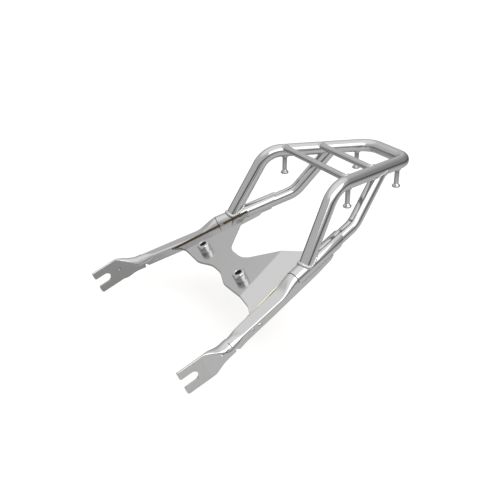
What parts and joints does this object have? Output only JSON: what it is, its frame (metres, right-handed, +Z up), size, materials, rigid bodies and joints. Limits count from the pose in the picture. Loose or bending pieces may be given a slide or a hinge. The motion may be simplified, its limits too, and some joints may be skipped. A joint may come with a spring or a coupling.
{
  "type": "motorcycle luggage rack",
  "caption": "Chrome rear luggage rack for a motorcycle: bent tube deck hoop with crossbars on splayed side rails, a folded bolt-on plate and slotted fork ends.",
  "frame": {"origin": "midpoint between the round ends of the two fork slots, on the axis of the studs that they hang on", "axes": "+X to the motorcycle's left, along the stud axis; +Y to the rear; +Z up, with the deck hoop level"},
  "size_m": [0.3112, 0.4313, 0.2119],
  "materials": {
    "tube_chrome": "bright chrome plate on round tube",
    "pressed_chrome": "bright chrome plate on pressed steel",
    "plate_chrome": "chrome plate on flat sheet",
    "rod_chrome": "chrome plate on round bar",
    "collar_chrome": "bright chrome plate on turned steel",
    "weld_chrome": "chrome plate over weld metal"
  },
  "bodies": {
    "root": {"hoop_tube": "tube_chrome", "centre_plate": "plate_chrome", "front_crossbar": "rod_chrome", "rear_crossbar": "rod_chrome", "front_left_hook": "rod_chrome", "front_right_hook": "rod_chrome", "rear_left_hook": "rod_chrome", "rear_right_hook": "rod_chrome", "left_brace_tube": "tube_chrome", "left_rail_sleeve": "tube_chrome", "left_side_rail": "pressed_chrome", "left_fork_bracket": "pressed_chrome", "left_boss_collar": "collar_chrome", "left_leg_weld": "weld_chrome", "left_brace_weld": "weld_chrome", "right_brace_tube": "tube_chrome", "right_rail_sleeve": "tube_chrome", "right_side_rail": "pressed_chrome", "right_fork_bracket": "pressed_chrome", "right_boss_collar": "collar_chrome", "right_leg_weld": "weld_chrome", "right_brace_weld": "weld_chrome"}
  },
  "joints": []
}
